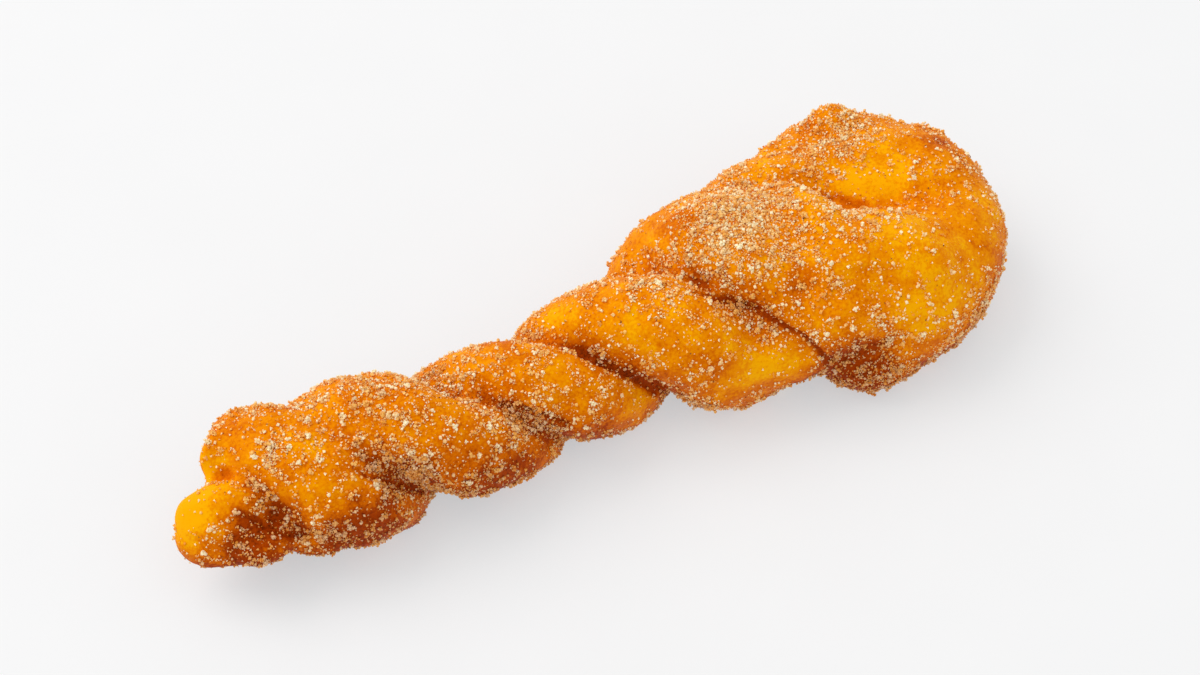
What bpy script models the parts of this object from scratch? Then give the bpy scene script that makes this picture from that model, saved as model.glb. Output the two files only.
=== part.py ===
"""Twist doughnut: one rope of fried dough, doubled over and wound round itself.

The rope is bent in half at the broad loop, and its two strands run side by side from there,
each winding round the other in a right-handed twist, down to two pinched ends.
Metres, +Z up. +X runs from the pinched ends to the loop, and the doughnut lies on Z = 0.
"""

import math

import bmesh
import bpy
from mathutils import Matrix, Vector

MM = 0.001
ALONG = Vector((1, 0, 0))

# The twist's axis, in mm, from the loop's root down to the ends: where along the length, how far
# to the side, how high, and the angle of strand two round the axis. Strand one lies opposite.
# The first row is beyond the root, and only sets how the strands leave the loop.
AXIS = (
    (71.2, -1.0, 15.1, 35.0),
    (57.0, -0.5, 15.1, 2.0),
    (42.8, -1.0, 15.5, -52.0),
    (26.4, -1.2, 14.6, -145.0),
    (-1.4, -4.4, 13.7, -325.0),
    (-24.4, -6.9, 13.3, -505.0),
    (-51.8, -7.5, 14.2, -685.0),
    (-70.6, -3.6, 12.8, -865.0),
    (-85.6, -6.7, 11.1, -1000.0),
)

# Each strand at those same places, in mm: how far its centre lies from the axis,
# half its thickness, measured outwards, and half its breadth round the axis.
STRAND_ONE = (
    (11.4, 17.0, 17.7),
    (11.4, 17.0, 17.7),
    (7.1, 13.7, 19.5),
    (9.3, 12.4, 13.3),
    (7.2, 7.9, 8.6),
    (6.7, 7.0, 8.0),
    (8.4, 8.0, 9.3),
    (6.4, 7.9, 9.0),
    (5.3, 7.8, 8.6),
)
STRAND_TWO = (
    (13.4, 17.6, 16.4),
    (13.4, 17.6, 16.4),
    (7.1, 12.4, 17.7),
    (9.7, 12.7, 12.4),
    (7.3, 7.3, 9.2),
    (7.4, 7.9, 9.4),
    (8.8, 7.5, 9.2),
    (5.6, 7.0, 8.8),
    (4.8, 7.6, 8.7),
)

# How many rows past the root each strand is pinched off.
ONE_ENDS_AT = 5.9
TWO_ENDS_AT = 6.5

# The bend of the loop: how far past the root the crease between the strands runs, how much thinner
# and narrower the rope is round the bend, all in mm, and how far the bend turns on, in degrees.
CREASE_PAST_ROOT = 13.7
BEND_THINNER = 5.3
BEND_NARROWER = 0.9
BEND_TURNS_ON = 12.0

# The strands' sections lie square to the length from here on to the loop, in mm along,
# and square to the strand's own path before.
LOOP_FROM = 57.9
TWIST_FROM = 18.9

# A section is an oval, squared a little where the strands press on each other: 1 is an ellipse.
SECTION_POWER = 0.88

# Dough that fills the rope out: its centre and half its size along, aside and up, in mm,
# then how far it is turned on the table, in degrees.
NEAR_LIMB = ((53.2, -10.4, 16.8), (27.0, 14.2, 20.8), -16.0)
TOP_OF_NEAR_LIMB = ((49.0, -5.5, 21.0), (11.0, 8.5, 15.2), -18.0)
FAR_LIMB = ((52.0, 13.2, 16.8), (26.0, 12.0, 16.4), 0.0)
BLISTER_ON_FAR_LIMB = ((64.0, 22.0, 28.0), (5.6, 4.6, 5.2), 0.0)
SAG_OF_NEAR_LIMB = ((52.5, -17.0, 9.0), (13.0, 13.0, 11.0), 0.0)
LIP_OF_NEAR_LIMB = ((43.0, -15.2, 20.8), (15.0, 9.6, 10.5), -24.0)
FOLD_UNDER_NEAR_LIMB = ((31.5, -15.6, 13.4), (18.0, 8.4, 9.8), -7.0)
BACK_OF_FAR_LIMB = ((52.0, 19.0, 24.0), (8.0, 6.0, 7.0), 0.0)
RIM_OF_LOOP = ((78.5, 11.0, 22.5), (8.5, 9.0, 8.0), 0.0)
LAST_TURN = ((-70.5, 3.6, 18.7), (6.5, 5.5, 6.5), 0.0)
EDGE_OF_LAST_TURN = ((-60.5, -17.0, 10.6), (9.5, 5.0, 5.5), 0.0)
TUCKED_END = ((-74.1, -16.9, 13.3), (6.6, 5.3, 4.4), 0.0)
FULLER_PLACES = (
    NEAR_LIMB,
    TOP_OF_NEAR_LIMB,
    FAR_LIMB,
    BLISTER_ON_FAR_LIMB,
    SAG_OF_NEAR_LIMB,
    LIP_OF_NEAR_LIMB,
    FOLD_UNDER_NEAR_LIMB,
    BACK_OF_FAR_LIMB,
    RIM_OF_LOOP,
    LAST_TURN,
    EDGE_OF_LAST_TURN,
    TUCKED_END,
)

# The dough's own weight: the share of its height that the loop keeps, how softly the underside
# gives, and how much of it is pressed flat on the table, the last two in mm.
LOOP_HEIGHT = 0.88
UNDERSIDE_GIVES = 3.0
PRESSED_FLAT = 1.2

# What brings the middle of the doughnut over the origin, in mm.
TO_MIDDLE = Vector((-0.6, -0.5, 0))

# The loft's fineness: sections for each row, round the bend and in each rounded end, and points round one.
RINGS_PER_ROW = 22
RINGS_IN_BEND = 20
RINGS_IN_END = 6
SIDES = 32
BALL_SIDES = 24
BALL_RINGS = 12

# How the strands become one skin: the grid it is drawn on in mm, how its creases are softened,
# the size and height of its uneven swellings in mm, and the share of its faces that is kept.
SKIN_GRID = 0.75
SOFTENING = 0.5
SOFTENING_ROUNDS = 4
SWELL_SIZE = 14.0
SWELL_HEIGHT = 2.4
FACES_KEPT = 0.107

# The block that cuts the underside level, in mm.
TABLE_SIZE = (300.0, 200.0, 20.0)


def between(rows, column, step):
    """The value in a column of a table at a fractional row, on a smooth curve through the rows."""
    first = min(max(int(math.floor(step)), 1), len(rows) - 3)
    t = step - first
    p0, p1, p2, p3 = (rows[first + k][column] for k in (-1, 0, 1, 2))
    slope_1 = (p2 - p0) / 2
    slope_2 = (p3 - p1) / 2
    return (
        (2 * t**3 - 3 * t**2 + 1) * p1
        + (t**3 - 2 * t**2 + t) * slope_1
        + (3 * t**2 - 2 * t**3) * p2
        + (t**3 - t**2) * slope_2
    )


def axis_at(row):
    """The axis's point and the direction of strand two from it, so many rows from the loop's root."""
    x, y, z, degrees = (between(AXIS, column, row + 1) for column in range(4))
    angle = math.radians(degrees)
    return Vector((x, y, z)) * MM, Vector((0, math.cos(angle), math.sin(angle)))


def strand_station(strand, side, row):
    """Where a strand's section lies and how large it is. Side is 1 for strand two and -1 for strand one."""
    axis, direction = axis_at(row)
    offset, thick, broad = (between(strand, column, row + 1) * MM for column in range(3))
    outward = direction * side
    return axis + outward * offset, outward, ALONG.cross(direction), thick, broad


def bend_station(share):
    """A section of the bend that joins the strands, from strand two at share 0 to strand one at share 1."""
    axis, direction = axis_at(0)
    angle = math.pi * share
    mix = (1 - math.cos(angle)) / 2
    middle = math.sin(angle)
    two, one = (Vector(strand[1]) * MM for strand in (STRAND_TWO, STRAND_ONE))
    offset, thick, broad = two.lerp(one, mix)
    overlap = thick - offset
    thick -= BEND_THINNER * MM * middle**2
    broad -= BEND_NARROWER * MM * middle**2
    direction = Matrix.Rotation(math.radians(BEND_TURNS_ON) * middle, 3, ALONG) @ direction
    outward = direction * math.cos(angle) + ALONG * middle
    pivot = axis + ALONG * (CREASE_PAST_ROOT * MM * middle)
    return pivot + outward * (thick - overlap), outward, ALONG.cross(direction), thick, broad


def along_share(x):
    """0 in the twist, 1 in the loop and a share between them on the way, for a place along the length."""
    return min(max((x / MM - TWIST_FROM) / (LOOP_FROM - TWIST_FROM), 0), 1)


def squared_up(stations):
    """Turns the strands' sections across their own path, and less and less so towards the loop."""
    turned = []
    for index, (centre, outward, sideways, thick, broad) in enumerate(stations):
        before = stations[max(index - 1, 0)][0]
        after = stations[min(index + 1, len(stations) - 1)][0]
        path = (after - before).normalized()
        if path.x < 0:
            path.negate()
        tangent = path.lerp(ALONG, along_share(centre.x)).normalized()
        outward = (outward - tangent * outward.dot(tangent)).normalized()
        cross = tangent.cross(outward)
        if cross.dot(sideways) < 0:
            cross.negate()
        turned.append((centre, outward, cross, thick, broad))
    return turned


def end_stations(station):
    """The sections that round off an end of the rope, each smaller than the last."""
    centre, outward, sideways, thick, broad = station
    reach = (thick + broad) / 2
    stations = []
    for k in range(1, RINGS_IN_END):
        angle = math.pi / 2 * k / RINGS_IN_END
        place = centre - ALONG * (reach * math.sin(angle))
        shrink = math.cos(angle)
        stations.append((place, outward, sideways, thick * shrink, broad * shrink))
    return stations


def rope_stations():
    """All the rope's sections, from the end of strand two round the loop to the end of strand one."""
    two_count = round(TWO_ENDS_AT * RINGS_PER_ROW)
    one_count = round(ONE_ENDS_AT * RINGS_PER_ROW)
    two = squared_up(
        [strand_station(STRAND_TWO, 1, TWO_ENDS_AT * (1 - i / two_count)) for i in range(two_count)]
    )
    bend = [bend_station(i / RINGS_IN_BEND) for i in range(RINGS_IN_BEND)]
    one = squared_up(
        [strand_station(STRAND_ONE, -1, ONE_ENDS_AT * i / one_count) for i in range(one_count + 1)]
    )
    return end_stations(two[0])[::-1] + two + bend + one + end_stations(one[-1])


def settled(place):
    """Where a point of the rope comes to lie when the dough sinks under its own weight."""
    share = along_share(place.x)
    share = share * share * (3 - 2 * share)
    height = place.z * (1 - (1 - LOOP_HEIGHT) * share)
    height = (height + math.hypot(height, UNDERSIDE_GIVES * MM)) / 2
    return Vector((place.x, place.y, height - PRESSED_FLAT * MM)) + TO_MIDDLE * MM


def add_ring(bm, station):
    """The vertices of one section."""
    centre, outward, sideways, thick, broad = station
    ring = []
    for k in range(SIDES):
        angle = 2 * math.pi * k / SIDES
        out, aside = (
            math.copysign(abs(part) ** SECTION_POWER, part)
            for part in (math.cos(angle), math.sin(angle))
        )
        place = centre + outward * (thick * out) + sideways * (broad * aside)
        ring.append(bm.verts.new(settled(place)))
    return ring


def add_fuller_places(bm):
    """The balls of dough that fill the rope out."""
    for centre, halves, degrees in FULLER_PLACES:
        place = Matrix.Translation(Vector(centre) * MM)
        turn = Matrix.Rotation(math.radians(degrees), 4, "Z")
        ball = bmesh.ops.create_uvsphere(
            bm,
            u_segments=BALL_SIDES,
            v_segments=BALL_RINGS,
            radius=MM,
            matrix=place @ turn @ Matrix.Diagonal((*halves, 1)),
        )
        for vertex in ball["verts"]:
            vertex.co = settled(vertex.co)


def add_object(name, bm, collection):
    """An object of its own from the finished mesh."""
    mesh = bpy.data.meshes.new(name)
    bm.to_mesh(mesh)
    bm.free()
    obj = bpy.data.objects.new(name, mesh)
    collection.objects.link(obj)
    return obj


def build_rope(collection):
    """The whole rope as one loft, whose strands still run into each other, with its fuller places."""
    bm = bmesh.new()
    rings = [add_ring(bm, station) for station in rope_stations()]
    for ring_a, ring_b in zip(rings, rings[1:]):
        for k in range(SIDES):
            n = (k + 1) % SIDES
            bm.faces.new((ring_a[k], ring_a[n], ring_b[n], ring_b[k]))
    bm.faces.new(rings[0])
    bm.faces.new(rings[-1])
    bmesh.ops.recalc_face_normals(bm, faces=bm.faces)
    add_fuller_places(bm)
    return add_object("twist_doughnut", bm, collection)


def fuse(rope):
    """Makes the overlapping strands one skin with uneven swellings."""
    skin = rope.modifiers.new("Fuse the strands", "REMESH")
    skin.mode = "VOXEL"
    skin.voxel_size = SKIN_GRID * MM
    skin.use_smooth_shade = True
    soften = rope.modifiers.new("Soften the creases", "SMOOTH")
    soften.factor = SOFTENING
    soften.iterations = SOFTENING_ROUNDS
    clouds = bpy.data.textures.new("Uneven swelling", "CLOUDS")
    clouds.noise_scale = SWELL_SIZE * MM
    swell = rope.modifiers.new("Swell unevenly", "DISPLACE")
    swell.texture = clouds
    swell.texture_coords = "LOCAL"
    swell.strength = SWELL_HEIGHT * MM
    fewer = rope.modifiers.new("Fewer faces", "DECIMATE")
    fewer.ratio = FACES_KEPT


def press_flat(rope, guides):
    """Cuts the underside level where the doughnut lies on the table."""
    bm = bmesh.new()
    bmesh.ops.create_cube(bm, size=MM)
    table = add_object("table", bm, guides)
    table.scale = TABLE_SIZE
    table.location.z = -TABLE_SIZE[2] * MM / 2
    table.hide_render = True
    table.display_type = "WIRE"
    cut = rope.modifiers.new("Press flat on the table", "BOOLEAN")
    cut.operation = "DIFFERENCE"
    cut.solver = "EXACT"
    cut.object = table


def make_material(name, colour, roughness):
    """A plain finish."""
    material = bpy.data.materials.new(name)
    material.use_nodes = True
    shader = material.node_tree.nodes["Principled BSDF"]
    shader.inputs["Base Color"].default_value = (*colour, 1)
    shader.inputs["Roughness"].default_value = roughness
    shader.inputs["Metallic"].default_value = 0.0
    return material


def new_collection(name):
    """A collection of its own in the scene."""
    collection = bpy.data.collections.new(name)
    bpy.context.scene.collection.children.link(collection)
    return collection


def clear_scene():
    """Removes whatever the scene holds."""
    for obj in list(bpy.data.objects):
        bpy.data.objects.remove(obj)


def main():
    clear_scene()
    parts = new_collection("Twist doughnut")
    guides = new_collection("Guides")
    rope = build_rope(parts)
    rope.data.materials.append(make_material("Fried crust", (0.72, 0.34, 0.05), 0.6))
    fuse(rope)
    press_flat(rope, guides)


main()
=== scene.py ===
"""A twist doughnut in cinnamon sugar, on a plain pale floor.

Metres, +Z up. +X runs from the pinched ends to the broad loop.
"""

import math

import bpy
import numpy as np
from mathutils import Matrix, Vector, noise


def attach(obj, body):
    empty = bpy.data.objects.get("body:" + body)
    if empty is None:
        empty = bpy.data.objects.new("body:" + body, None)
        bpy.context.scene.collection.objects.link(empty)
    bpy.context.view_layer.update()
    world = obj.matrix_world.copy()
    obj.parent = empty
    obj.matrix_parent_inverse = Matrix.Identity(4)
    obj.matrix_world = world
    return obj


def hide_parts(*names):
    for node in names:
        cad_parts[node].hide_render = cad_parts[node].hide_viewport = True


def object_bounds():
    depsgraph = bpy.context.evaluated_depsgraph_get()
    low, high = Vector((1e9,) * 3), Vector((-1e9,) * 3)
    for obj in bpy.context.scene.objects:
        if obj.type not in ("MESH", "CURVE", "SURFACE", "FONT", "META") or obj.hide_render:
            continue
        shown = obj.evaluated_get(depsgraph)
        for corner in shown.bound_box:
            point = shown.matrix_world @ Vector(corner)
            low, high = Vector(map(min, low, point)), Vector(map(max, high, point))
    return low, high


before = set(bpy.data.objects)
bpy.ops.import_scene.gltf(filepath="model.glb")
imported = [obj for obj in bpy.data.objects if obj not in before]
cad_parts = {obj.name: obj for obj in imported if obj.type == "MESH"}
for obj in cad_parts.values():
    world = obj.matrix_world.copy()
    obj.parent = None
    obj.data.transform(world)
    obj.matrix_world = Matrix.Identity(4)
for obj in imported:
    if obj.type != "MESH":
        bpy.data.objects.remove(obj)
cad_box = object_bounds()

# The dough: one rope of yeast dough, folded in half and wound round itself, fried in deep oil.
# Its skin is a thin smooth crust with soft dents and a fine grain, pale gold where it swelled
# last and browner underneath, where it fried longer. Its folds, creases and hollows are painted
# darker as painted shade, and so, in part, is its underside. It lies on its flat underside.
MM = 0.001
SKIN_GRID = 0.57 * MM
SKIN_SMOOTHING = 6
SUGAR_ROOM = 0.62 * MM

# The size and the height of the skin's dents, in mm.
DENTS = ((7.0, 0.30), (3.0, 0.16), (1.6, 0.10))

bpy.ops.object.select_all(action="DESELECT")
dough = bpy.data.objects.new("fried_dough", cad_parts["twist_doughnut"].data.copy())
bpy.context.scene.collection.objects.link(dough)
bpy.context.view_layer.objects.active = dough
dough.select_set(True)
bpy.ops.object.mode_set(mode="EDIT")
bpy.ops.mesh.select_all(action="SELECT")
bpy.ops.mesh.remove_doubles(threshold=0.01 * MM)
bpy.ops.object.mode_set(mode="OBJECT")


def add_modifier(obj, kind, settings):
    """Adds a modifier to an object and applies it."""
    modifier = obj.modifiers.new(kind.title(), kind)
    for name, value in settings.items():
        setattr(modifier, name, value)
    bpy.context.view_layer.objects.active = obj
    bpy.ops.object.modifier_apply(modifier=modifier.name)


def clouds(size):
    """Soft uneven bumps of about this size."""
    texture = bpy.data.textures.new("Bumps", "CLOUDS")
    texture.noise_scale = size
    texture.noise_depth = 1
    return texture


add_modifier(dough, "REMESH", {"mode": "VOXEL", "voxel_size": SKIN_GRID, "use_smooth_shade": True})
add_modifier(dough, "SMOOTH", {"factor": 0.5, "iterations": SKIN_SMOOTHING})
add_modifier(dough, "DISPLACE", {"strength": -SUGAR_ROOM, "mid_level": 0.0})
for dent_size, dent_height in DENTS:
    bumps = {"texture": clouds(dent_size * MM), "strength": dent_height * MM}
    add_modifier(dough, "DISPLACE", bumps)


def point_values(mesh, name):
    """The places or normals of a mesh's vertices, a row each."""
    values = np.empty(len(mesh.vertices) * 3, dtype=np.float32)
    mesh.vertices.foreach_get(name, values)
    return values.reshape(-1, 3).astype(np.float64)


def evened(mesh, values, rounds):
    """Values at a mesh's vertices after so many rounds of averaging with their neighbours."""
    ends = np.empty(len(mesh.edges) * 2, dtype=np.int32)
    mesh.edges.foreach_get("vertices", ends)
    one, two = ends.reshape(-1, 2).T
    count = len(values)
    neighbours = np.bincount(one, minlength=count) + np.bincount(two, minlength=count)
    for _ in range(rounds):
        total = np.empty_like(values)
        for k in range(values.shape[1]):
            total[:, k] = np.bincount(one, values[two, k], count)
            total[:, k] += np.bincount(two, values[one, k], count)
        values = (values + total / neighbours[:, None]) / 2
    return values


def rise(values, low, high):
    """0 below low, 1 above high, and a smooth rise between them."""
    t = np.clip((values - low) / (high - low), 0, 1)
    return t * t * (3 - 2 * t)


# Blender seeds noise_vector from the clock, so it is given a seed here, for the same waves each run.
noise.seed_set(7)


def wavered(points, size, reach):
    """Points moved about a little, by up to about reach, in waves of about this size."""
    waves = [noise.noise_vector(Vector(p) / size) for p in points]
    return points + np.array(waves) * reach


def along(points, normals, line, width):
    """How close the skin's points lie to a line through places in mm, fading in from its first."""
    core = 0.2 * width
    fade_in = 11 * MM
    nearby = 1.5 * MM
    far_off = 3 * MM
    closest = np.zeros(len(points))
    for start, end in zip(line, line[1:]):
        start = np.array(start) * MM
        step = np.array(end) * MM - start
        share = np.clip((points - start) @ step / (step @ step), 0, 1)
        away = points - start - share[:, None] * step
        height = np.sum(away * normals, axis=1)
        aside = np.linalg.norm(away - height[:, None] * normals, axis=1)
        on_skin = 1 - rise(np.abs(height), nearby, far_off)
        closest = np.maximum(closest, on_skin * (1 - rise(aside, core, width)))
    from_first = np.linalg.norm(points - np.array(line[0]) * MM, axis=1)
    return closest * rise(from_first, 0, fade_in)


# The folds, where one turn of the rope lies on the next: the deepest lines, through places in mm.
# Remeshing softened them, so they are pressed in again, and so are all the creases of the skin.
FOLDS = (
    ((13, -2, 29), (18, -8, 28), (24, -12, 26), (29, -16, 24), (34, -22, 21), (37, -24, 17),
     (41, -25, 12)),
    ((68, -9, 27), (62, -3, 26), (57, 2, 25), (51, 5, 28)),
    ((-10, -1, 21), (-7, -6, 22), (-4, -10, 21), (2, -13, 16), (8, -15, 9)),
    ((-28, -7, 22), (-25, -11, 21), (-21, -15, 20), (-17, -17, 18), (-14, -19, 16)),
    ((-58, -13, 25), (-55, -16, 24), (-52, -18, 21), (-47, -18, 15), (-42, -17, 9)),
    ((-79, -10, 22), (-78, -14, 20), (-74, -16, 17), (-71, -18, 16), (-67, -20, 13)),
)
FOLD_WIDTH = 0.9 * MM
FOLD_DEPTH = 0.55 * MM
CREASE_DEPTH = 0.35 * MM

skin = dough.data
points = point_values(skin, "co")
normals = point_values(skin, "normal")
rounded = evened(skin, points, rounds=28)
crease = np.sum((points - rounded) * normals, axis=1)
crease = 1 - rise(crease, -0.9 * MM, -0.25 * MM)
hollow = np.sum((points - evened(skin, rounded, rounds=110)) * normals, axis=1)
hollow = 1 - rise(hollow, -1.2 * MM, 0.6 * MM)
wavy = wavered(points, size=4 * MM, reach=0.6 * MM)
folds = np.max([along(wavy, normals, line, FOLD_WIDTH) for line in FOLDS], axis=0)
points -= normals * (crease * CREASE_DEPTH + folds * FOLD_DEPTH)[:, None]

# The skin was drawn in for the sugar all round, so its flat underside goes back on the floor.
points[:, 2] -= SUGAR_ROOM * (1 - rise(points[:, 2], 1.0 * MM, 5.0 * MM))
points[:, 2] = np.maximum(points[:, 2], 0.0)
skin.vertices.foreach_set("co", points.ravel())
skin.update()


def patches(points, size, seed):
    """Uneven patches of about this size, from about -1 to 1."""
    shift = Vector((seed, -seed, 2 * seed))
    return np.array([noise.noise(Vector(p) / size + shift) for p in points])


def near(points, spots):
    """How strongly each point takes part in a table of ragged spots (x, y, z, radius, strength)."""
    total = np.zeros(len(points))
    points = wavered(points, size=3 * MM, reach=1.8 * MM)
    for x, y, z, radius, strength in spots:
        away = np.linalg.norm(points - np.array((x, y, z)) * MM, axis=1) / (radius * MM)
        total += strength * np.exp(-1.4 * away**2)
    return total


# Where the skin is browner and where it is paler: spots in mm, with radius and strength. Besides,
# it is painted darker in creases, folds and hollows as painted shade, darker underneath partly as
# painted shade and partly from the frying, and browner at the thin end and in uneven patches.
# The spots low on the strands' front sides, at y -21 to -27 mm and z 9 to 14 mm, are partly painted
# shade, where those sides face down, away from the light, and partly real browning.
BROWNED_AND_SHADED = (
    (-77, -19, 16, 8, 0.7),
    (55, -21, 27, 2.4, 0.45),
    (36, -16, 28, 3.5, 0.25),
    (-22, -21, 13, 7, 0.3),
    (-31, -23, 13, 7, 0.28),
    (-54, -23, 14, 7, 0.4),
    (-60, -23, 12, 7, 0.35),
    (-46, -19, 18, 5, 0.3),
    (-38, -20, 22, 9, 0.15),
    (45, -27, 9, 9, 0.7),
    (80, 9, 26, 6, 0.3),
    (30, -17, 24, 5, 0.3),
    (22, 3, 33, 7, 0.15),
    (52, 13, 28, 8, 0.1),
    (-5, -15, 18, 8, 0.08),
)
PALE = (
    (62, 2, 26, 10, 0.26),
    (56, -16, 30, 11, 0.16),
    (-86, -8, 19, 9, 0.6),
    (-77, -5, 20, 5, 0.35),
    (22, -23, 14, 8, 0.2),
    (32, -24, 16, 6, 0.2),
    (4, -17, 10, 7, 0.25),
    (-65, -14, 25, 7, 0.05),
    (-37, -13, 27, 5, 0.12),
    (59, -28, 20, 9, 0.2),
    (-10, 0, 22, 5, 0.15),
    (4, -14, 23, 8, 0.08),
)
underneath = 1 - rise(normals[:, 2], -0.6, 0.75)
thin_end = 1 - rise(points[:, 0], -25 * MM, 30 * MM)
broad_patches = patches(points, size=11 * MM, seed=3.1)
small_patches = patches(points, size=3.5 * MM, seed=5.7)
# The crease, hollow and fold terms are painted shade; the underneath term is partly painted shade,
# partly browning from the frying.
browning_and_shade = 0.31 + 0.6 * crease + 0.15 * hollow + 0.42 * underneath + 0.55 * folds
browning_and_shade += 0.14 * broad_patches + 0.22 * small_patches
browning_and_shade += 0.11 * thin_end
browning_and_shade += near(points, BROWNED_AND_SHADED) - near(points, PALE)
browning_and_shade = evened(skin, browning_and_shade[:, None], rounds=2)[:, 0]

# How thickly the sugar lies: heavier and barer spots in mm, with radius and strength. It lies in
# the hollows more than in the creases, hardly underneath, and everywhere in uneven clusters.
SUGARED = (
    (34, 3, 33, 13, 1),
    (25, -3, 34, 9, 0.5),
    (62, 16, 27, 10, 0.6),
    (52, -7, 32, 7, 0.3),
    (-45, -2, 28, 12, 0.48),
    (-46, -20, 19, 6.5, 1),
    (-22, -15, 18, 5, 1),
    (12, -6, 30, 6, 0.4),
    (27, -14, 24, 5, 0.5),
    (34, -21, 21, 5, 0.4),
    (73, -25, 11, 7, 0.35),
    (46, -28, 9, 7, 0.45),
    (52, -29, 9, 5, 0.3),
    (-68, -9, 26, 3.5, 0.8),
    (-31, -4, 21, 6, 0.5),
    (-81, -16, 16, 4, 0.4),
    (-66, -21, 12, 7, 0.4),
    (-35, -23, 12, 7, 0.4),
    (14, -20, 9, 5, 0.7),
    (-68, 3, 25, 5, 0.3),
)
BARE = (
    (17, 9, 26, 7, 0.35),
    (62, 1, 26, 8, 0.6),
    (68, -19, 27, 10, 0.25),
    (-86, -9, 19, 8, 0.5),
    (22, -23, 14, 8, 0.4),
    (32, -24, 16, 6, 0.3),
    (2, -17, 11, 6, 0.5),
    (-74, -6, 24, 6, 0.3),
    (2, -10, 27, 6, 0.2),
    (51, -16, 31, 7, 0.15),
    (-24, -12, 20, 4, 0.2),
    (-60, -20, 21, 6, 0.2),
    (70, 7, 28, 7, 0.2),
    (77, -17, 23, 9, 0.25),
    (78, 11, 26, 8, 0.2),
)
foot = 1 - rise(points[:, 2], 0, 9 * MM)
facing_down = 1 - rise(normals[:, 2], -0.9, -0.4)
clusters = patches(points, size=1.5 * MM, seed=8.3)
clusters += 0.5 * patches(points, size=0.8 * MM, seed=2.6)
clusters += 0.6 * patches(points, size=4.5 * MM, seed=1.9)
clustered = rise(clusters, 0.10, 0.45)
sugar = 0.17 + 0.12 * hollow - 0.3 * crease
sugar += 0.8 * near(points, SUGARED) - 0.6 * near(points, BARE)
sugar += 0.12 * foot
sugar *= 1 - 0.75 * facing_down
sugar = np.clip(sugar, 0.04, 1.1) * (1 - 0.7 * folds)
sugar *= 0.15 + 0.8 * sugar + (3.2 - 1.6 * sugar) * clustered

# Thick sugar holds the oil and the cinnamon and casts shade between its grains, so the skin under
# it is painted browner: partly browning, partly painted shade.
browning_and_shade += 0.22 * rise(sugar, 0.3, 1.4)


def keep_values(mesh, name, values):
    """Stores a value for each vertex, for materials and modifiers to read by name."""
    layer = mesh.attributes.new(name, "FLOAT", "POINT")
    layer.data.foreach_set("value", values.astype(np.float32))


keep_values(skin, "browning_and_shade", np.clip(browning_and_shade, 0, 1))
keep_values(skin, "sugar", np.clip(sugar, 0, 2.4))


class Wire:
    """An output in a node tree. Arithmetic on it adds the maths nodes."""

    def __init__(self, tree, socket=None):
        self.tree = tree
        self.socket = socket

    def node(self, kind, settings, inputs, output=0):
        """Adds a node, sets and wires it, and returns one of its outputs."""
        node = self.tree.nodes.new(kind)
        for name, value in settings.items():
            setattr(node, name, value)
        for key, value in inputs.items():
            self.plug(node.inputs[key], value)
        return Wire(self.tree, node.outputs[output] if node.outputs else None)

    def plug(self, socket, value):
        """Wires a value into a socket, or sets the socket to it."""
        if isinstance(value, Wire):
            self.tree.links.new(value.socket, socket)
        else:
            socket.default_value = value

    def maths(self, operation, one, two):
        """One maths node on two values."""
        return self.node("ShaderNodeMath", {"operation": operation}, {0: one, 1: two})

    def __add__(self, other):
        return self.maths("ADD", self, other)

    def __radd__(self, other):
        return self.maths("ADD", other, self)

    def __sub__(self, other):
        return self.maths("SUBTRACT", self, other)

    def __rsub__(self, other):
        return self.maths("SUBTRACT", other, self)

    def __mul__(self, other):
        return self.maths("MULTIPLY", self, other)

    def __rmul__(self, other):
        return self.maths("MULTIPLY", other, self)

    def rise(self, low, high):
        """0 below low, 1 above high, and a smooth rise between them."""
        limits = {"Value": self, "From Min": low, "From Max": high}
        return self.node("ShaderNodeMapRange", {"interpolation_type": "SMOOTHSTEP"}, limits)

    def mix(self, one, two):
        """One colour where this value is 0, and the other where it is 1."""
        inputs = {0: self, 6: one, 7: two}
        return self.node("ShaderNodeMix", {"data_type": "RGBA"}, inputs, 2)

    def stored(self, name):
        """A value that the mesh holds under this name."""
        return self.node("ShaderNodeAttribute", {"attribute_name": name}, {}, "Fac")

    def speckle(self, scale, detail):
        """Fine uneven tones over this place, with so many of them in a metre."""
        inputs = {"Vector": self, "Scale": scale, "Detail": detail, "Roughness": 0.6}
        return self.node("ShaderNodeTexNoise", {}, inputs, "Fac")


def new_material(name, roughness):
    """A material, its shader, and the wire that carries the place on the object."""
    material = bpy.data.materials.new(name)
    material.use_nodes = True
    shader = material.node_tree.nodes["Principled BSDF"]
    shader.inputs["Roughness"].default_value = roughness
    place = Wire(material.node_tree).node("ShaderNodeTexCoord", {}, {}, "Object")
    return material, shader, place


def colour(red, green, blue):
    """A colour given as it shows on a screen, 0 to 255."""
    shares = (value / 255 for value in (red, green, blue))
    return (*(s / 12.92 if s <= 0.04045 else ((s + 0.055) / 1.055) ** 2.4 for s in shares), 1)


# The crust's colours, from pale gold to dark brown: each tone between two values gives way to the
# next. A little oil is left on it, which shines golden.
PALE_GOLD = colour(252, 174, 2)
BROWNER_STEPS = (
    (0.05, 0.36, colour(238, 140, 0)),
    (0.32, 0.60, colour(216, 106, 0)),
    (0.56, 0.92, colour(162, 58, 2)),
    (0.92, 1.25, colour(96, 28, 4)),
)
crust, shader, place = new_material("Fried crust", 0.5)
shader.inputs["Specular IOR Level"].default_value = 0.05
shader.inputs["Specular Tint"].default_value = colour(255, 200, 90)
mottle = place.speckle(420, 4)
grain = place.speckle(1500, 4)
tone = place.stored("browning_and_shade") + 0.40 * (mottle - 0.5) + 0.85 * (grain - 0.5)
crust_colour = PALE_GOLD
for low, high, browner in BROWNER_STEPS:
    crust_colour = tone.rise(low, high).mix(crust_colour, browner)

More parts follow.
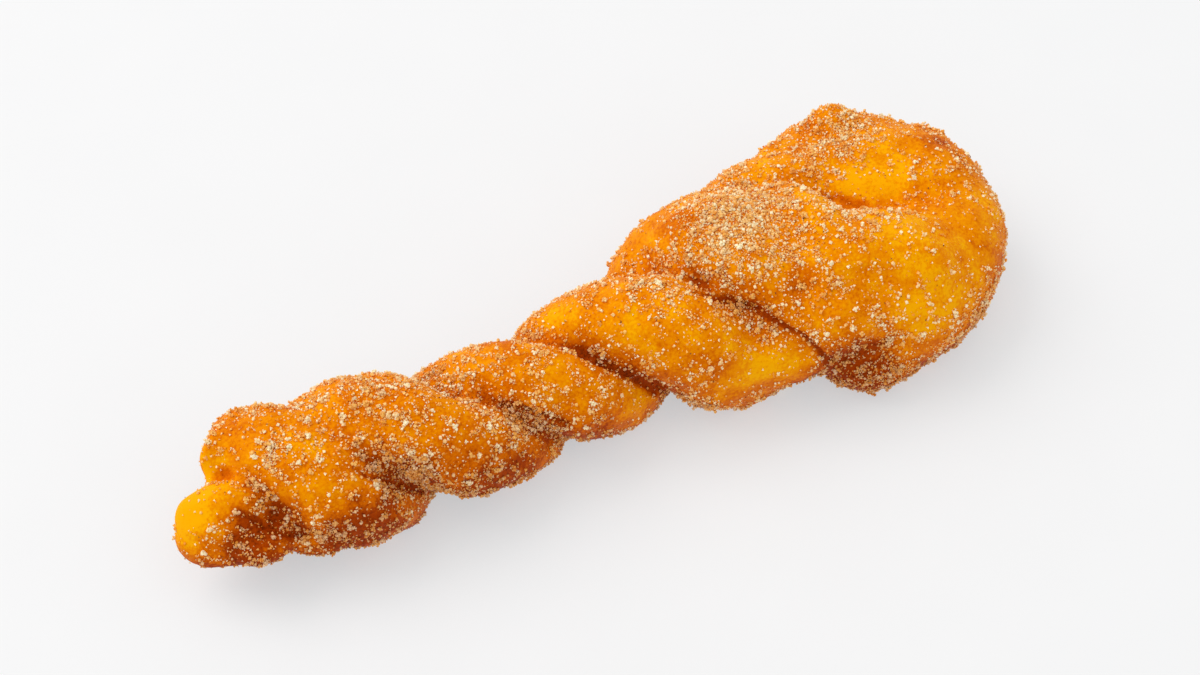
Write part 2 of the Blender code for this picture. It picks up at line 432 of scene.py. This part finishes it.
# Sugar too fine to pick out lies between the grains, and roughens the crust where it is thick.
dust = place.speckle(1700, 2).rise(0.50, 0.66) * place.stored("sugar").rise(0.5, 2.2) * 0.25
crust_colour = dust.mix(crust_colour, colour(232, 178, 118))
place.plug(shader.inputs["Base Color"], crust_colour)
place.plug(shader.inputs["Roughness"], 0.42 + 0.3 * dust + 0.15 * mottle)
height = mottle * 0.5 + grain * 0.35 + dust * 0.6
bump = {"Height": height, "Strength": 0.6, "Distance": 0.25 * MM}
place.plug(shader.inputs["Normal"], place.node("ShaderNodeBump", {}, bump))
skin.materials.clear()
skin.materials.append(crust)
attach(dough, "root")
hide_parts("twist_doughnut")

# The sugar: granulated sugar tossed with ground cinnamon, which clings to the warm skin in grains,
# here and there in crumbly lumps. Each kind of grain is modelled once and strewn as a joined mesh.
# Its crystals are clear to tan, and painted brown where the skin is browned: partly where the oil
# soaks them, partly as painted shade in the folds, creases, hollows and underneath.
granules, shader, place = new_material("Cinnamon sugar", 0.3)
shader.inputs["Specular IOR Level"].default_value = 0.35
tint = place.stored("tint")
# Painted shade in part: the sugar darkens where the crust's browning and painted shade are strong.
oiled_and_shaded = place.stored("browning_and_shade").rise(0.45, 1.0)
spice = place.speckle(3800, 2).rise(0.52, 0.70)
sugar_colour = tint.rise(0.0, 0.35).mix(colour(240, 156, 44), colour(250, 192, 98))
sugar_colour = tint.rise(0.35, 1.0).mix(sugar_colour, colour(255, 242, 200))
sugar_colour = (oiled_and_shaded * 0.55).mix(sugar_colour, colour(202, 116, 40))
sugar_colour = (spice * 0.3).mix(sugar_colour, colour(206, 128, 58))
place.plug(shader.inputs["Base Color"], sugar_colour)
place.plug(shader.inputs["Roughness"], 0.2 + 0.35 * spice)


def strew(name, shape, spacing, smallest, largest, lift, seed, material):
    """Strews copies of a shape over the dough, spacing and lift in mm, and joins them as a piece."""
    piece = bpy.data.objects.new(name, skin.copy())
    bpy.context.scene.collection.objects.link(piece)
    tree = bpy.data.node_groups.new(name, "GeometryNodeTree")
    tree.interface.new_socket("Geometry", in_out="INPUT", socket_type="NodeSocketGeometry")
    tree.interface.new_socket("Geometry", in_out="OUTPUT", socket_type="NodeSocketGeometry")
    wires = Wire(tree)
    start = wires.node("NodeGroupInput", {}, {})
    density = wires.node("GeometryNodeInputNamedAttribute", {"data_type": "FLOAT"}, {"Name": "sugar"})
    thickly = {"Mesh": start, "Density": density * (1 / (spacing * MM) ** 2), "Seed": seed}
    spread = wires.node("GeometryNodeDistributePointsOnFaces", {}, thickly)
    outward = Wire(tree, spread.socket.node.outputs["Normal"])
    turn = {"Min": (0, 0, 0), "Max": (math.tau, math.tau, math.tau), "Seed": seed + 1}
    turn = wires.node("FunctionNodeRandomValue", {"data_type": "FLOAT_VECTOR"}, turn)
    size = {2: smallest, 3: largest, "Seed": seed + 2}
    size = wires.node("FunctionNodeRandomValue", {"data_type": "FLOAT"}, size, 1)
    offset = {0: outward, 3: size * lift * MM}
    offset = wires.node("ShaderNodeVectorMath", {"operation": "SCALE"}, offset)
    lifted = wires.node("GeometryNodeSetPosition", {}, {"Geometry": spread, "Offset": offset})
    model = wires.node("GeometryNodeObjectInfo", {}, {"Object": shape}, "Geometry")
    copies = {"Points": lifted, "Instance": model, "Rotation": turn, "Scale": size}
    copies = wires.node("GeometryNodeInstanceOnPoints", {}, copies)
    shade = wires.node("FunctionNodeRandomValue", {"data_type": "FLOAT"}, {"Seed": seed + 3}, 1)
    tinted = {"Geometry": copies, "Name": "tint", "Value": shade}
    tinted = wires.node("GeometryNodeStoreNamedAttribute", {"domain": "INSTANCE"}, tinted)
    joined = wires.node("GeometryNodeRealizeInstances", {}, {"Geometry": tinted})
    low, high = (tuple(corner) for corner in cad_box)
    inside = wires.node("GeometryNodeInputPosition", {}, {})
    inside = wires.node("ShaderNodeVectorMath", {"operation": "MAXIMUM"}, {0: inside, 1: low})
    inside = wires.node("ShaderNodeVectorMath", {"operation": "MINIMUM"}, {0: inside, 1: high})
    settled = wires.node("GeometryNodeSetPosition", {}, {"Geometry": joined, "Position": inside})
    finish = wires.node("GeometryNodeSetMaterial", {}, {"Geometry": settled, "Material": material})
    wires.node("NodeGroupOutput", {}, {"Geometry": finish})
    add_modifier(piece, "NODES", {"node_group": tree})
    bpy.data.objects.remove(shape)
    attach(piece, "root")


def splinter_shape(name, corners, size, stretch):
    """One crystal too small to show more than points and edges: a sharp chip, stretched."""
    bpy.ops.object.select_all(action="DESELECT")
    bpy.ops.mesh.primitive_cone_add(vertices=corners, radius1=size / 2, depth=size * 0.8)
    shape = bpy.context.object
    shape.name = name
    bpy.ops.object.mode_set(mode="EDIT")
    bpy.ops.mesh.select_all(action="SELECT")
    bpy.ops.transform.resize(value=stretch, center_override=(0, 0, 0))
    bpy.ops.object.mode_set(mode="OBJECT")
    return shape


# Sugar dust, fine and middling sugar: chips broken off the crystals in the tossing, 0.2 to 0.7 mm
# across. The smaller they are, the closer they sit to the skin.
strew(
    "sugar_dust",
    splinter_shape("dust_chip", corners=3, size=0.30 * MM, stretch=(1.0, 0.8, 1.1)),
    spacing=0.58, smallest=0.7, largest=1.2, lift=0.06, seed=5, material=granules,
)
strew(
    "fine_sugar",
    splinter_shape("fine_chip", corners=3, size=0.50 * MM, stretch=(0.9, 0.8, 1.0)),
    spacing=0.50, smallest=0.7, largest=1.25, lift=0.08, seed=11, material=granules,
)
strew(
    "middling_sugar",
    splinter_shape("middling_chip", corners=4, size=0.54 * MM, stretch=(1.0, 0.8, 1.1)),
    spacing=0.60, smallest=0.7, largest=1.25, lift=0.10, seed=23, material=granules,
)


def grain_shape(name, size, pulls):
    """One crystal: a rough block with some corners moved in or out, from (corner, share) pairs."""
    bpy.ops.object.select_all(action="DESELECT")
    bpy.ops.mesh.primitive_cube_add(size=size)
    shape = bpy.context.object
    shape.name = name
    for corner, share in pulls:
        shape.data.vertices[corner].co *= share
    return shape


# Coarse sugar: whole crystals, blocks of about 0.5 mm with worn corners.
# They lie singly, well apart.
coarse_grain = grain_shape("coarse_grain", 0.46 * MM, ((0, 0.75), (2, 0.9), (5, 0.8), (7, 1.05)))
strew(
    "coarse_sugar", coarse_grain,
    spacing=1.1, smallest=0.75, largest=1.25, lift=0.16, seed=37, material=granules,
)


def lump_shape(name, size, places):
    """One crumbly lump: a handful of crystals stuck together, at places in shares of a grain."""
    blocks = []
    for k, spot in enumerate(places):
        block = grain_shape(name, size, ((k % 8, 0.7), ((k + 3) % 8, 0.8), ((k + 5) % 8, 1.15)))
        block.location = Vector(spot) * size
        block.rotation_euler = (k * 1.3, k * 0.7, k * 2.1)
        blocks.append(block)
    for block in blocks:
        block.select_set(True)
    bpy.context.view_layer.objects.active = blocks[0]
    bpy.ops.object.transform_apply(location=True, rotation=True, scale=True)
    bpy.ops.object.join()
    return bpy.context.object


# Lumps of sugar: eight crystals that the oil stuck together, about 1 mm across.
# They lie here and there, mostly where the sugar is thickest.
LUMP_PLACES = (
    (0, 0, 0), (0.9, 0.2, 0.1), (0.3, 0.9, -0.1), (-0.8, 0.5, 0.2),
    (0.2, -0.9, 0), (0.5, 0.2, 0.7), (1.6, 0.6, -0.2), (-0.4, 0.2, 0.8),
)
strew(
    "sugar_lumps", lump_shape("lump", 0.36 * MM, LUMP_PLACES),
    spacing=1.6, smallest=0.6, largest=1.25, lift=0.20, seed=41, material=granules,
)

# Ground cinnamon: dark brown specks of bark, a quarter of a millimetre across, matt and dry.
# They are strewn thinly with the sugar.
cinnamon, shader, place = new_material("Ground cinnamon", 0.7)
bark = place.speckle(1200, 1).rise(0.4, 0.6).mix(colour(92, 44, 16), colour(140, 78, 34))
place.plug(shader.inputs["Base Color"], bark)
strew(
    "ground_cinnamon",
    splinter_shape("speck", corners=3, size=0.26 * MM, stretch=(1.0, 0.6, 1.3)),
    spacing=1.5, smallest=0.6, largest=1.4, lift=0.10, seed=53, material=cinnamon,
)

# The floor: a plain matt surface, far larger than the view. It glows a little, which is painted
# light: the cool glow over a warmer base colour keeps the doughnut's shadow pale and grey, as on
# white paper in a bright room, and cancels the warm light that the doughnut throws into it.
bpy.ops.object.select_all(action="DESELECT")
bpy.ops.mesh.primitive_plane_add(size=6)
floor = bpy.context.object
floor.name = "floor"
matt, shader, place = new_material("Pale floor", 0.8)
# Painted light: a cool glow, over the warmer base colour set below.
shader.inputs["Emission Color"].default_value = (0.84, 0.96, 1, 1)
shader.inputs["Emission Strength"].default_value = 0.50
floor_colour = place.speckle(30, 2).mix(colour(178, 168, 165), colour(182, 172, 169))
place.plug(shader.inputs["Base Color"], floor_colour)
floor.data.materials.append(matt)

# The light: a wide soft lamp high behind the doughnut's left, and an even pale surround.
# Both are white, and no shadow has a hard edge.
bpy.ops.object.light_add(type="AREA", location=(-1.0, 1.1, 1.8))
lamp = bpy.context.object
lamp.data.size = 1.8
lamp.data.energy = 24
lamp.rotation_euler = (-lamp.location).to_track_quat("-Z", "Y").to_euler()
world = bpy.data.worlds.new("Pale surround")
world.use_nodes = True
surround = world.node_tree.nodes["Background"]
surround.inputs["Color"].default_value = (1, 1, 1, 1)
surround.inputs["Strength"].default_value = 0.80
bpy.context.scene.world = world
bpy.context.scene.view_settings.view_transform = "Standard"

# The camera: 52 degrees above the floor, a little to the left of the doughnut's side, with a
# long lens. The place that it aims at, in mm, is near the doughnut's middle.
ELEVATION = math.radians(52)
AZIMUTH = math.radians(-24.8)
AIM = Vector((1.35, -1.44, 14.72)) * MM
DISTANCE = 549.3 * MM
back = Vector((
    math.sin(AZIMUTH) * math.cos(ELEVATION),
    -math.cos(AZIMUTH) * math.cos(ELEVATION),
    math.sin(ELEVATION),
))
bpy.ops.object.camera_add(location=AIM + back * DISTANCE)
camera = bpy.context.object
camera.rotation_euler = (-back).to_track_quat("-Z", "Y").to_euler()
camera.data.lens = 85
camera.data.sensor_width = 36
bpy.context.scene.camera = camera
